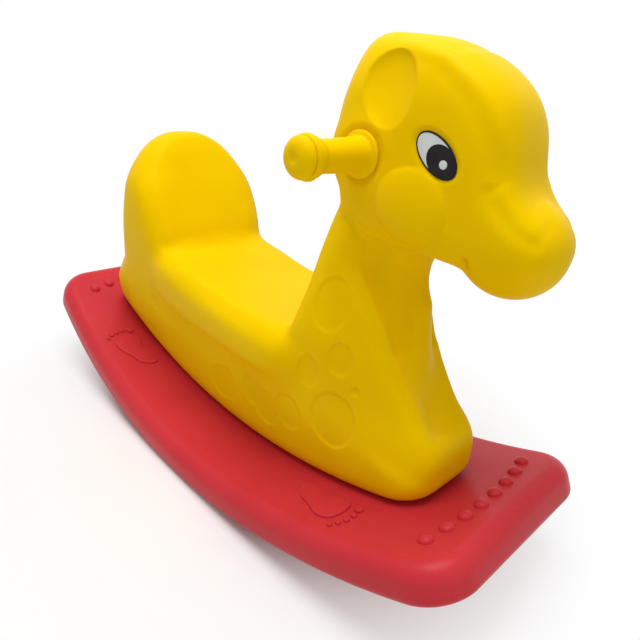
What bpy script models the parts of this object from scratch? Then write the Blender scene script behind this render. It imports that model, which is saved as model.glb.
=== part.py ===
"""Rocking giraffe for a small child: a blow-moulded rider on a curved double-wall rocker.

Frame: +X to the nose, +Y to the rider's left, +Z up. The origin is the rocker's lowest
point, under the middle of its length. All sizes are metres.
"""

import math

import bmesh
import bpy
from mathutils import Matrix, Vector

# Clearances between separate pieces
GAP = 0.0003
SLIDE_CLEARANCE = 0.0003
SCREW_CLEARANCE = 0.0004

# Rocker: a slab bent to an arc, wider in the middle than at its straight ends
ROCKER_LENGTH = 0.790
ROCKER_END_WIDTH = 0.270
ROCKER_SIDE_BULGE = 0.023
ROCKER_THICKNESS = 0.040
ROCKER_SOLE_RADIUS = 0.836
ROCKER_CORNER_RADIUS = 0.045
ROCKER_DECK_EDGE = 0.018
ROCKER_SOLE_EDGE = 0.010
ROCKER_WALL = 0.0026
ROCKER_FACET = 0.040

# Raised marks on the deck
DOT_COUNT = 8
DOT_SPACING = 0.0265
DOT_DIAMETER = 0.013
DOT_HEIGHT = 0.0028
DOT_ROW_INSET = 0.036
DOT_ROW_CURVE = 1.3
FOOTPRINT_HEIGHT = 0.0015
FOOTPRINT_LENGTH = 0.080
FRONT_FOOTPRINT_X = 0.219
REAR_FOOTPRINT_X = -0.206
FOOTPRINT_Y = 0.097
# Sole outline and toes of a footprint, in footprint lengths: toward the toes, toward the big toe
FOOTPRINT_SOLE = (
    (-0.50, 0.00), (-0.43, 0.13), (-0.18, 0.13), (0.02, 0.13), (0.20, 0.24), (0.31, 0.18),
    (0.34, 0.00), (0.27, -0.19), (0.08, -0.26), (-0.16, -0.20), (-0.38, -0.16),
)
# Toes: toward the toes, toward the big toe, radius
FOOTPRINT_TOES = (
    (0.42, 0.21, 0.075), (0.455, 0.065, 0.050), (0.445, -0.055, 0.045),
    (0.41, -0.165, 0.042), (0.35, -0.260, 0.038),
)

# Body skin
BODY_WALL = 0.0030
SKIN_VOXEL = 0.0050
SKIN_SMOOTHING = 6
SKIN_KEEP = 0.0270
CAVITY_VOXEL = 0.006
CAVITY_KEEP = 0.0205
RIB_ROUNDNESS = 2.3
FLANK_CROWN = 0.004

# Ribs of the body, from the bottom up:
# level, rear, front, half width, corner size, narrowing to the front
# A hull level is a height above the deck, squeezed toward one flat top
HULL_TOP = 0.205
HULL_RIBS = (
    (-0.010, -0.300, 0.274, 0.036, 0.026, 0.00),
    (0.000, -0.312, 0.288, 0.046, 0.030, 0.00),
    (0.006, -0.320, 0.297, 0.054, 0.034, 0.00),
    (0.014, -0.325, 0.302, 0.059, 0.036, 0.00),
    (0.026, -0.326, 0.304, 0.062, 0.036, 0.03),
    (0.055, -0.320, 0.298, 0.066, 0.040, 0.08),
    (0.090, -0.310, 0.250, 0.072, 0.050, 0.15),
    (0.125, -0.298, 0.205, 0.0765, 0.060, 0.15),
    (0.165, -0.284, 0.165, 0.0780, 0.066, 0.12),
)
# A neck or chest level is a share of the way from the hull's top to the handlebar
NECK_RIBS = (
    (-0.4667, 0.040, 0.294, 0.0620, 0.034, 0.10),
    (-0.3556, 0.050, 0.303, 0.0635, 0.030, 0.17),
    (-0.2444, 0.062, 0.303, 0.0625, 0.026, 0.25),
    (-0.1644, 0.074, 0.294, 0.0610, 0.024, 0.31),
    (-0.1022, 0.084, 0.278, 0.0610, 0.024, 0.33),
    (0.0222, 0.097, 0.2515, 0.0628, 0.024, 0.31),
    (0.1556, 0.106, 0.230, 0.0640, 0.025, 0.26),
    (0.3333, 0.111, 0.207, 0.0600, 0.027, 0.13),
    (0.5111, 0.113, 0.178, 0.0545, 0.030, 0.03),
    (0.6889, 0.119, 0.190, 0.0480, 0.032, 0.00),
    (0.8222, 0.124, 0.220, 0.0430, 0.040, 0.00),
)
CHEST_RIBS = (
    (-0.0444, 0.180, 0.2555, 0.018, 0.018, 0.00),
    (0.0267, 0.170, 0.2515, 0.022, 0.022, 0.10),
    (0.1956, 0.160, 0.2435, 0.024, 0.024, 0.20),
    (0.3511, 0.145, 0.2360, 0.024, 0.026, 0.20),
    (0.5111, 0.145, 0.2250, 0.026, 0.030, 0.15),
    (0.6533, 0.145, 0.2290, 0.030, 0.040, 0.10),
)
# A head level is a height above the handlebar's axis
HEAD_RIBS = (
    (-0.080, 0.150, 0.330, 0.026, 0.030, 0.05),
    (-0.072, 0.136, 0.344, 0.040, 0.040, 0.08),
    (-0.056, 0.127, 0.352, 0.050, 0.042, 0.14),
    (-0.034, 0.124, 0.346, 0.053, 0.042, 0.16),
    (-0.015, 0.119, 0.322, 0.054, 0.040, 0.12),
    (0.005, 0.113, 0.307, 0.054, 0.038, 0.08),
    (0.035, 0.113, 0.299, 0.053, 0.038, 0.06),
    (0.060, 0.117, 0.288, 0.050, 0.038, 0.04),
    (0.080, 0.120, 0.269, 0.044, 0.038, 0.00),
    (0.096, 0.126, 0.239, 0.034, 0.032, -0.04),
    (0.105, 0.139, 0.202, 0.016, 0.016, 0.00),
)
# A backrest level is a height above the floor
BACKREST_RIBS = (
    (0.110, -0.296, -0.110, 0.070, 0.060, 0.00),
    (0.150, -0.291, -0.110, 0.079, 0.060, 0.00),
    (0.185, -0.281, -0.110, 0.0845, 0.056, 0.00),
    (0.225, -0.266, -0.116, 0.0895, 0.046, 0.00),
    (0.260, -0.255, -0.132, 0.0925, 0.038, 0.00),
    (0.290, -0.248, -0.148, 0.0925, 0.034, 0.00),
    (0.320, -0.245, -0.165, 0.0885, 0.032, 0.00),
    (0.345, -0.245, -0.181, 0.0785, 0.032, 0.00),
    (0.366, -0.244, -0.194, 0.060, 0.028, 0.00),
    (0.380, -0.241, -0.205, 0.039, 0.020, 0.00),
    (0.387, -0.233, -0.214, 0.016, 0.010, 0.00),
)
# Ribs of the seat pad: station along X, underside, top, half width, corner size, narrowing
# up; the pad is lower at its sides than along its middle
SEAT_HALF_WIDTH = 0.0945
SEAT_SIDE_DROP = 0.0125
SEAT_RIBS = (
    (-0.215, 0.196, 0.262, 0.056, 0.024, 0.00),
    (-0.170, 0.178, 0.260, 0.085, 0.024, -0.03),
    (-0.110, 0.171, 0.249, 0.093, 0.023, -0.05),
    (-0.040, 0.169, 0.238, 0.0935, 0.022, -0.05),
    (0.030, 0.169, 0.235, 0.0935, 0.022, -0.05),
    (0.085, 0.170, 0.235, 0.092, 0.022, -0.04),
    (0.118, 0.176, 0.231, 0.085, 0.022, -0.02),
    (0.136, 0.191, 0.224, 0.069, 0.015, 0.00),
)
# V groove up the front of the chest: neck level, x of the valley, slope of its sides
GROOVE_RIBS = (
    (-0.1711, 0.2690, 0.70),
    (-0.1467, 0.2635, 0.75),
    (-0.1111, 0.2595, 0.58),
    (-0.0444, 0.2555, 0.26),
    (0.0267, 0.2515, 0.00),
    (0.1333, 0.2475, -0.05),
)
GROOVE_REACH = 0.070
# Heights from here to the ear are above the handlebar's axis
# Nose: centre x and height, half length, half width, half height
NOSE = (0.304, -0.0545, 0.050, 0.044, 0.0468)
# Cheek disc on the side of the head: centre x and height, half length, half height,
# half thickness
CHEEK = (0.229, -0.033, 0.037, 0.040, 0.0125)
CHEEK_SIDE = 0.0545
# Swelling of the head's sides round the handlebar: half length, half thickness
ROOT_SWELLING = (0.055, 0.013)
ROOT_SIDE = 0.0500

# Small nub on the front of the neck: centre x and height, radius
NUB = (0.228, -0.142, 0.0105)
# Ear dish: centre x and height, half length, half height and depth of its mouth
EAR = (0.184, 0.057, 0.029, 0.032, 0.0060)
EAR_SIDE = 0.0545
EAR_LEAN = math.radians(13.0)
# The ear dish is the end of an ellipsoid this many depths deep
EAR_BOWL = 4.0

# Handlebar, turning in the tunnel through the head
HANDLE_X = 0.166
HANDLE_Z = 0.430
HANDLE_SPAN = 0.286
TUBE_DIAMETER = 0.0190
TUBE_WALL = 0.0015
TUNNEL_WALL = 0.0030
FLANGE_SEAT = 0.0585
FLANGE_DIAMETER = 0.0470
FLANGE_THICKNESS = 0.0040
FLANGE_POCKET_DIAMETER = 0.0580
GRIP_ROOT_DIAMETER = 0.0320
GRIP_DIAMETER = 0.0292
COLLAR_DIAMETER = 0.0400
COLLAR_LENGTH = 0.0190
CAP_DIAMETER = 0.0370
CAP_LENGTH = 0.0110
CAP_DIMPLE_DIAMETER = 0.0100
CAP_DIMPLE_DEPTH = 0.0015
CAP_STEM_LENGTH = 0.0180

# Eyes: printed oval labels in shallow seats, at a height above the handlebar's axis
EYE_X = 0.2435
EYE_RISE = 0.0138
EYE_LENGTH = 0.0494
EYE_WIDTH = 0.0272
EYE_TILT = math.radians(34.7)
EYE_TURN = math.radians(4.0)
EYE_LEAN = math.radians(4.0)
EYE_SEAT = 0.0540
EYE_SEAT_MARGIN = 0.0010
EYE_THICKNESS = 0.0008

# Bolts from below, through the rocker into inserts in the body's floor
BOLT_X = (-0.255, -0.085, 0.085, 0.225)
BOLT_SHANK = 0.0060
BOLT_REACH = 0.0140
BOLT_HEAD_DIAMETER = 0.0120
BOLT_HEAD_HEIGHT = 0.0040
HEX_KEY = 0.0050
HEX_DEPTH = 0.0022
WASHER_DIAMETER = 0.0180
WASHER_THICKNESS = 0.0016
WELL_DIAMETER = 0.0280
BOLT_SEAT_THICKNESS = 0.0060
INSERT_DIAMETER = 0.0120
INSERT_LENGTH = 0.0160
BOSS_WALL = 0.0050
VENT_DIAMETER = 0.0100
VENT_X = (-0.170, 0.170)

# Facets
ROUND = 24
SMALL_ROUND = 12
CORNER_STEPS = 6
SIDE_STEPS = 8
RIB_STEPS = 4
TOE_SIDES = 8

YELLOW = (0.90, 0.62, 0.002)
RED = (0.60, 0.022, 0.022)
STEEL = (0.62, 0.62, 0.64)
BRASS = (0.78, 0.57, 0.25)
LABEL = (0.85, 0.85, 0.85)


def clear_scene():
    for old in list(bpy.data.objects):
        bpy.data.objects.remove(old, do_unlink=True)


def collection(name):
    group = bpy.data.collections.new(name)
    bpy.context.scene.collection.children.link(group)
    return group


def material(name, colour, roughness, metallic=0.0):
    made = bpy.data.materials.new(name)
    made.use_nodes = True
    shader = made.node_tree.nodes["Principled BSDF"]
    shader.inputs["Base Color"].default_value = (*colour, 1.0)
    shader.inputs["Roughness"].default_value = roughness
    shader.inputs["Metallic"].default_value = metallic
    return made


def add_object(name, bm, group):
    mesh = bpy.data.meshes.new(name)
    bmesh.ops.recalc_face_normals(bm, faces=bm.faces)
    bm.to_mesh(mesh)
    bm.free()
    made = bpy.data.objects.new(name, mesh)
    group.objects.link(made)
    return made


def freeze(obj):
    """Replaces an object's mesh by its evaluated one and drops the modifiers."""
    bpy.context.view_layer.update()
    evaluated = obj.evaluated_get(bpy.context.evaluated_depsgraph_get())
    mesh = bpy.data.meshes.new_from_object(evaluated)
    obj.modifiers.clear()
    obj.data = mesh
    return obj


def cut(obj, tool, operation="DIFFERENCE"):
    """Adds a Boolean with one cutter, which then only shows as wires."""
    change = obj.modifiers.new(operation.title(), "BOOLEAN")
    change.operation = operation
    change.solver = "EXACT"
    change.object = tool
    tool.hide_render = True
    tool.display_type = "WIRE"


def finish(obj, surface, smooth_angle=math.radians(35.0)):
    obj.data.materials.clear()
    obj.data.materials.append(surface)
    obj.data.shade_smooth()
    obj.data.set_sharp_from_angle(angle=smooth_angle)


def smooth_between(rows, steps, closed=False):
    """Catmull-Rom rows between the given ones, so that a few make a fair form."""
    count = len(rows)
    last = count if closed else count - 1
    made = []
    for i in range(last):
        if closed:
            near = [rows[(i + k) % count] for k in (-1, 0, 1, 2)]
        else:
            near = [rows[min(max(i + k, 0), count - 1)] for k in (-1, 0, 1, 2)]
        for step in range(steps):
            t = step / steps
            row = []
            for p, q, r, s in zip(*near):
                bend = (2 * p - 5 * q + 4 * r - s) * t * t + (3 * q - p - 3 * r + s) * t ** 3
                row.append(0.5 * (2 * q + (r - p) * t + bend))
            made.append(row)
    if not closed:
        made.append(list(rows[-1]))
    return made


def rib_outline(rear, front, half, corner, narrowing):
    """A rib's outline: crowned long sides and rounded corners, narrower to the front."""
    middle = (front + rear) / 2
    reach = (front - rear) / 2
    corner_along = min(corner, reach)
    corner_across = min(corner, half)
    points = []
    for quadrant in range(4):
        side = 1 if quadrant in (0, 3) else -1
        flank = 1 if quadrant in (0, 1) else -1
        for i in range(CORNER_STEPS + 1):
            angle = math.pi / 2 * (quadrant + i / CORNER_STEPS)
            c = math.copysign(abs(math.cos(angle)) ** (2 / RIB_ROUNDNESS), side)
            s = math.copysign(abs(math.sin(angle)) ** (2 / RIB_ROUNDNESS), flank)
            along = side * (reach - corner_along) + corner_along * c
            across = flank * (half - corner_across) + corner_across * s
            points.append((along, across))
        if quadrant % 2 == 0:
            start = points[-1][0]
            for i in range(1, SIDE_STEPS):
                points.append((start * (1 - 2 * i / SIDE_STEPS), flank * half))
    outline = []
    for along, across in points:
        t = along / reach
        crown = math.copysign(FLANK_CROWN * (1 - t * t) * min(1.0, abs(across) / half), across)
        outline.append((middle + along, across * (1 - narrowing * t) + crown))
    return outline


def level_point(level, along, across):
    return Vector((along, across, level))


def neck_point(share, along, across):
    return Vector((along, across, HULL_TOP + share * (HANDLE_Z - HULL_TOP)))


def head_point(height, along, across):
    return Vector((along, across, HANDLE_Z + height))


def station_point(station, along, across):
    return Vector((station, across, along - SEAT_SIDE_DROP * (across / SEAT_HALF_WIDTH) ** 2))


def loft(bm, ribs, place):
    """Joins ribs into one closed body, its ends closed straight across."""
    rings = []
    for at, rear, front, half, corner, narrowing in smooth_between(ribs, RIB_STEPS):
        outline = rib_outline(rear, front, half, corner, narrowing)
        rings.append([bm.verts.new(place(at, along, across)) for along, across in outline])
    count = len(rings[0])
    for lower, upper in zip(rings, rings[1:]):
        for i in range(count):
            j = (i + 1) % count
            bm.faces.new((lower[i], lower[j], upper[j], upper[i]))
    for ring in (rings[0], rings[-1]):
        for i in range(count // 2 - 1):
            j = count - 1 - i
            bm.faces.new((ring[i], ring[i + 1], ring[j - 1], ring[j]))


def add_ellipsoid(bm, centre, half_sizes, segments=24, rings=16, turn=Matrix.Identity(4)):
    place = Matrix.Translation(Vector(centre)) @ turn @ Matrix.Diagonal((*half_sizes, 1.0))
    bmesh.ops.create_uvsphere(
        bm, u_segments=segments, v_segments=rings, radius=1.0, matrix=place
    )


def rod(name, radius, length, place, group, segments=ROUND):
    """A cylinder from the place's origin along its +Z."""
    bm = bmesh.new()
    bmesh.ops.create_cone(
        bm,
        cap_ends=True,
        segments=segments,
        radius1=radius,
        radius2=radius,
        depth=length,
        matrix=place @ Matrix.Translation((0, 0, length / 2)),
    )
    return add_object(name, bm, group)


def turned(name, profile, closed, place, group, segments=ROUND):
    """Turns a profile of (radius, height) about +Z, written down its outer side."""
    mesh = bpy.data.meshes.new(name)
    edges = [(i, i + 1) for i in range(len(profile) - 1)]
    if closed:
        edges.append((len(profile) - 1, 0))
    mesh.from_pydata([(r, 0.0, h) for r, h in profile], edges, [])
    made = bpy.data.objects.new(name, mesh)
    group.objects.link(made)
    screw = made.modifiers.new("Screw", "SCREW")
    screw.steps = segments
    screw.render_steps = segments
    screw.use_merge_vertices = True
    screw.merge_threshold = 0.00001
    made.matrix_world = place
    return freeze(made)


def along_y(x, y, z, side):
    """A place whose +Z points out of the toy's side, at a point on that side."""
    turn = Matrix.Rotation(-side * math.pi / 2, 4, "X")
    return Matrix.Translation((x, side * y, z)) @ turn


def deck_radius():
    return ROCKER_SOLE_RADIUS - ROCKER_THICKNESS


def bend_height():
    """Height of the bend's centre, with the sole's middle facet flat on the floor."""
    return ROCKER_SOLE_RADIUS * math.cos(ROCKER_FACET / 2 / deck_radius())


def bent(x, y, z):
    """A flat slab's point after the slab is bent: z up from the sole, x along the deck."""
    angle = x / deck_radius()
    radius = ROCKER_SOLE_RADIUS - z
    return Vector((radius * math.sin(angle), y, bend_height() - radius * math.cos(angle)))


def bent_place(x, y, z):
    """The place at a flat slab's point, +Z square to the bent slab."""
    return Matrix.Translation(bent(x, y, z)) @ Matrix.Rotation(-x / deck_radius(), 4, "Y")


def flat_x(x):
    """Length along the deck to the point of the deck above or below world x."""
    return deck_radius() * math.asin(x / deck_radius())


def flat_half_length():
    """Half the deck's length: the overall length is across the widest line of the ends."""
    widest = ROCKER_SOLE_RADIUS - ROCKER_SOLE_EDGE
    return deck_radius() * math.asin(ROCKER_LENGTH / 2 / widest)


def rocker_outline(inset):
    half_length = flat_half_length() - inset
    half_width = ROCKER_END_WIDTH / 2 - inset
    radius = max(ROCKER_CORNER_RADIUS - inset, 0.005)
    quarter = []
    for i in range(CORNER_STEPS + 1):
        angle = math.pi / 2 * i / CORNER_STEPS
        x = half_length - radius + radius * math.cos(angle)
        quarter.append((x, half_width - radius + radius * math.sin(angle)))
    points = list(quarter)
    points += [(-x, y) for x, y in reversed(quarter)]
    points += [(-x, -y) for x, y in quarter]
    points += [(x, -y) for x, y in reversed(quarter)]
    return points


def slab_stations():
    """Where the bent slab's facets meet: one facet is centred under the middle."""
    facets = int(flat_half_length() / ROCKER_FACET)
    half = [ROCKER_FACET * (i + 0.5) for i in range(facets)]
    return [-x for x in reversed(half)] + half


def bend_prism(bm, outline, low, high, bulge=0.0, low_edge=0.0, high_edge=0.0, segments=3):
    """Adds a flat prism with rounded rims, cut at the slab's stations and bent with it."""
    part = bmesh.new()
    face = part.faces.new([part.verts.new((x, y, low)) for x, y in outline])
    raised = bmesh.ops.extrude_face_region(part, geom=[face])
    top = [v for v in raised["geom"] if isinstance(v, bmesh.types.BMVert)]
    bmesh.ops.translate(part, verts=top, vec=(0, 0, high - low))
    bmesh.ops.recalc_face_normals(part, faces=part.faces)
    for level, width in ((low, low_edge), (high, high_edge)):
        if width > 0:
            rim = [e for e in part.edges if all(abs(v.co.z - level) < 1e-7 for v in e.verts)]
            bmesh.ops.bevel(
                part,
                geom=rim,
                offset=width,
                offset_type="OFFSET",
                segments=segments,
                profile=0.5,
                affect="EDGES",
            )
    for x in slab_stations():
        everything = part.verts[:] + part.edges[:] + part.faces[:]
        bmesh.ops.bisect_plane(part, geom=everything, plane_co=(x, 0, 0), plane_no=(1, 0, 0))
    half_length = flat_half_length()
    half_width = ROCKER_END_WIDTH / 2
    for v in part.verts:
        x, y, z = v.co
        v.co = bent(x, y * (1 + bulge * (1 - (x / half_length) ** 2) / half_width), z)
    mesh = bpy.data.meshes.new("prism")
    part.to_mesh(mesh)
    part.free()
    bm.from_mesh(mesh)
    bpy.data.meshes.remove(mesh)


def rocker_slab(name, group, inset, low, high, low_edge=0.0, high_edge=0.0, segments=3):
    bm = bmesh.new()
    outline = rocker_outline(inset)
    bend_prism(bm, outline, low, high, ROCKER_SIDE_BULGE, low_edge, high_edge, segments)
    return add_object(name, bm, group)


def add_footprint(bm, x, side, toward):
    """One raised footprint, toes toward +X or -X, with its big toe to the toy's middle."""
    low = ROCKER_THICKNESS - ROCKER_WALL / 2
    high = ROCKER_THICKNESS + FOOTPRINT_HEIGHT

    def spot(along, across):
        inner = FOOTPRINT_Y - across * FOOTPRINT_LENGTH
        return (x + toward * along * FOOTPRINT_LENGTH, side * inner)

    sole = [spot(a, b) for a, b in smooth_between(FOOTPRINT_SOLE, 2, closed=True)]
    bend_prism(bm, sole, low, high)
    for along, across, radius in FOOTPRINT_TOES:
        toe = []
        for i in range(TOE_SIDES):
            angle = 2 * math.pi * i / TOE_SIDES
            toe.append(spot(along + radius * math.cos(angle), across + radius * math.sin(angle)))
        bend_prism(bm, toe, low, high)


def deck_marks(group):
    """Both rows of dots and the four footprints, ready to join to the deck."""
    bm = bmesh.new()
    for end in (-1, 1):
        for i in range(DOT_COUNT):
            y = (i - (DOT_COUNT - 1) / 2) * DOT_SPACING
            x = end * (flat_half_length() - DOT_ROW_INSET - DOT_ROW_CURVE * y * y)
            place = bent_place(x, y, ROCKER_THICKNESS)
            half_sizes = (DOT_DIAMETER / 2, DOT_DIAMETER / 2, DOT_HEIGHT, 1.0)
            bmesh.ops.create_uvsphere(
                bm,
                u_segments=10,
                v_segments=6,
                radius=1.0,
                matrix=place @ Matrix.Diagonal(half_sizes),
            )
    for side in (-1, 1):
        add_footprint(bm, FRONT_FOOTPRINT_X, side, 1)
        add_footprint(bm, REAR_FOOTPRINT_X, side, -1)
    return add_object("deck_marks", bm, group)


def bolt_places():
    return [flat_x(x) for x in BOLT_X]


def well_depth():
    return ROCKER_THICKNESS - BOLT_SEAT_THICKNESS


def make_rocker(toy, tools):
    rocker = rocker_slab(
        "rocker_base",
        toy,
        0.0,
        0.0,
        ROCKER_THICKNESS,
        ROCKER_SOLE_EDGE,
        ROCKER_DECK_EDGE,
    )
    hollow = rocker_slab(
        "rocker_hollow",
        tools,
        ROCKER_WALL,
        ROCKER_WALL,
        ROCKER_THICKNESS - ROCKER_WALL,
        ROCKER_SOLE_EDGE - ROCKER_WALL,
        ROCKER_DECK_EDGE - ROCKER_WALL,
        1,
    )
    wells = bmesh.new()
    posts = bmesh.new()
    holes = bmesh.new()
    reach = ROCKER_THICKNESS * 2
    for x in bolt_places():
        for bm, diameter, low, high in (
            (posts, WELL_DIAMETER + 2 * ROCKER_WALL, -reach, reach),
            (wells, WELL_DIAMETER, -reach, well_depth()),
            (holes, BOLT_SHANK + 2 * SCREW_CLEARANCE, 0.0, reach),
        ):
            bmesh.ops.create_cone(
                bm,
                cap_ends=True,
                segments=ROUND if bm is not holes else SMALL_ROUND,
                radius1=diameter / 2,
                radius2=diameter / 2,
                depth=high - low,
                matrix=bent_place(x, 0, (low + high) / 2),
            )
    cut(hollow, add_object("well_posts", posts, tools))
    freeze(hollow)
    cut(rocker, hollow)
    cut(rocker, deck_marks(tools), "UNION")
    cut(rocker, add_object("wells", wells, tools))
    cut(rocker, add_object("bolt_holes", holes, tools))
    for x in VENT_X:
        vent = rod(
            "rocker_vent",
            VENT_DIAMETER / 2,
            ROCKER_WALL * 4,
            bent_place(flat_x(x), 0, -2 * ROCKER_WALL),
            tools,
            SMALL_ROUND,
        )
        cut(rocker, vent)
    return freeze(rocker)


def hull_point(level, along, across):
    """A hull level is a height above the deck, squeezed toward the hull's flat top."""
    share = level / (HULL_TOP - ROCKER_THICKNESS)
    deck = bend_height() - math.sqrt(deck_radius() ** 2 - along * along)
    return Vector((along, across, deck + (HULL_TOP - deck) * share))


def body_lofts(name, group):
    bm = bmesh.new()
    loft(bm, HULL_RIBS, hull_point)
    loft(bm, NECK_RIBS, neck_point)
    loft(bm, CHEST_RIBS, neck_point)
    loft(bm, HEAD_RIBS, head_point)
    loft(bm, BACKREST_RIBS, level_point)
    loft(bm, SEAT_RIBS, station_point)
    x, height, half_length, half_width, half_height = NOSE
    add_ellipsoid(bm, head_point(height, x, 0), (half_length, half_width, half_height))
    x, height, radius = NUB
    add_ellipsoid(bm, head_point(height, x, 0), (radius, radius, radius))
    x, height, half_length, half_height, half_thickness = CHEEK
    for side in (-1, 1):
        place = head_point(height, x, side * CHEEK_SIDE)
        add_ellipsoid(bm, place, (half_length, half_thickness, half_height))
        spread, thickness = ROOT_SWELLING
        root = (HANDLE_X, side * ROOT_SIDE, HANDLE_Z)
        add_ellipsoid(bm, root, (spread, thickness, spread))
    return add_object(name, bm, group)


def chest_groove(name, group):
    """Cutter for the V up the front of the chest, open at its front and top."""
    bm = bmesh.new()
    rings = []
    for share, valley, slope in smooth_between(GROOVE_RIBS, RIB_STEPS):
        mouth = valley + 2 * GROOVE_REACH
        wall = valley + slope * GROOVE_REACH
        outline = (
            (valley, 0),
            (wall, GROOVE_REACH),
            (mouth, GROOVE_REACH),
            (mouth, -GROOVE_REACH),
            (wall, -GROOVE_REACH),
        )
        rings.append([bm.verts.new(neck_point(share, x, y)) for x, y in outline])
    count = len(rings[0])
    for lower, upper in zip(rings, rings[1:]):
        for i in range(count):
            j = (i + 1) % count
            bm.faces.new((lower[i], lower[j], upper[j], upper[i]))
    bm.faces.new(rings[0])
    bm.faces.new(rings[-1])
    return add_object(name, bm, group)


def remesh(obj, voxel):
    change = obj.modifiers.new("Remesh", "REMESH")
    change.mode = "VOXEL"
    change.voxel_size = voxel


def relax(obj, iterations):
    change = obj.modifiers.new("Smooth", "SMOOTH")
    change.factor = 0.5
    change.iterations = iterations


def reduce_and_mirror(obj, keep):
    fewer = obj.modifiers.new("Decimate", "DECIMATE")
    fewer.ratio = keep
    mirror = obj.modifiers.new("Mirror", "MIRROR")
    mirror.use_axis = (False, True, False)
    mirror.use_bisect_axis = (False, True, False)
    mirror.use_mirror_merge = True
    mirror.merge_threshold = 0.0001


def ear_dishes(name, group, grow):
    """What presses the ears into the head, grown by a wall for the hollow inside."""
    bm = bmesh.new()
    x, height, half_length, half_height, depth = EAR
    spread = 1 / math.sqrt(1 - (1 - 1 / EAR_BOWL) ** 2)
    bowl = Vector((half_length * spread, depth * EAR_BOWL, half_height * spread))
    bowl += Vector((grow, grow, grow))
    for side in (-1, 1):
        lean = Matrix.Rotation(side * EAR_LEAN, 4, "X")
        out = lean @ Vector((0, side * (EAR_BOWL - 1) * depth, 0))
        add_ellipsoid(bm, head_point(height, x, side * EAR_SIDE) + out, bowl, turn=lean)
    return add_object(name, bm, group)


def flange_pockets(name, group, grow):
    """The round pockets for the grips' flanges, grown by a wall for the hollow inside."""
    bm = bmesh.new()
    seat = FLANGE_SEAT - GAP - grow
    for side in (-1, 1):
        bmesh.ops.create_cone(
            bm,
            cap_ends=True,
            segments=ROUND,
            radius1=FLANGE_POCKET_DIAMETER / 2 + grow,
            radius2=FLANGE_POCKET_DIAMETER / 2 + grow,
            depth=FLANGE_SEAT,
            matrix=along_y(HANDLE_X, seat + FLANGE_SEAT / 2, HANDLE_Z, side),
        )
    return add_object(name, bm, group)


def body_form(name, group, tools):
    """The body's outer form, fine and smooth, before it is thinned out or hollowed."""
    form = body_lofts(name, group)
    remesh(form, SKIN_VOXEL)
    cut(form, chest_groove(name + "_groove", tools))
    remesh(form, SKIN_VOXEL)
    relax(form, SKIN_SMOOTHING)
    return form


def tunnel_radius():
    return TUBE_DIAMETER / 2 + SLIDE_CLEARANCE


def insert_hole_depth():
    return INSERT_LENGTH + GAP


def body_hollow(tools):
    """The air inside the body: the form drawn in by the wall, less floor, bosses and tunnel."""
    hollow = body_form("body_hollow", tools, tools)
    inward = hollow.modifiers.new("Displace", "DISPLACE")
    inward.direction = "NORMAL"
    inward.mid_level = 0.0
    inward.strength = -BODY_WALL
    remesh(hollow, CAVITY_VOXEL)
    reduce_and_mirror(hollow, CAVITY_KEEP)
    freeze(hollow)
    floor = ROCKER_THICKNESS + GAP + BODY_WALL
    below = rocker_slab("floor_below", tools, 0.0, -ROCKER_THICKNESS, floor)
    cut(hollow, below)
    cut(hollow, ear_dishes("ear_walls", tools, BODY_WALL))
    cut(hollow, flange_pockets("pocket_walls", tools, BODY_WALL))
    cut(hollow, eye_seats("eye_walls", tools, BODY_WALL))
    tunnel = rod(
        "tunnel_wall",
        tunnel_radius() + TUNNEL_WALL,
        HANDLE_SPAN,
        along_y(HANDLE_X, -HANDLE_SPAN / 2, HANDLE_Z, 1),
        tools,
    )
    cut(hollow, tunnel)
    for x in bolt_places():
        boss = rod(
            "insert_boss",
            INSERT_DIAMETER / 2 + BOSS_WALL,
            ROCKER_THICKNESS + insert_hole_depth() + BOSS_WALL,
            bent_place(x, 0, 0),
            tools,
        )
        cut(hollow, boss)
    return freeze(hollow)


def eye_place(side, y):
    """Origin in the eye's middle, +Z out of the head, +X along the oval."""
    turn = Matrix.Rotation(-side * EYE_TURN, 4, "Z")
    outward = Matrix.Rotation(-side * (math.pi / 2 - EYE_LEAN), 4, "X")
    tilt = Matrix.Rotation(side * EYE_TILT, 4, "Z")
    return Matrix.Translation((EYE_X, side * y, HANDLE_Z + EYE_RISE)) @ turn @ outward @ tilt


def add_oval(bm, length, width, thickness, place):
    bmesh.ops.create_cone(
        bm,
        cap_ends=True,
        segments=ROUND,
        radius1=0.5,
        radius2=0.5,
        depth=1.0,
        matrix=place
        @ Matrix.Translation((0, 0, thickness / 2))
        @ Matrix.Diagonal((length, width, thickness, 1.0)),
    )


def eye_seats(name, group, grow):
    """Cutters for both eyes' seats, grown by a wall for the hollow inside."""
    bm = bmesh.new()
    margin = 2 * (EYE_SEAT_MARGIN + grow)
    for side in (-1, 1):
        place = eye_place(side, EYE_SEAT - GAP - grow)
        add_oval(bm, EYE_LENGTH + margin, EYE_WIDTH + margin, EYE_SEAT, place)
    return add_object(name, bm, group)


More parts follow.
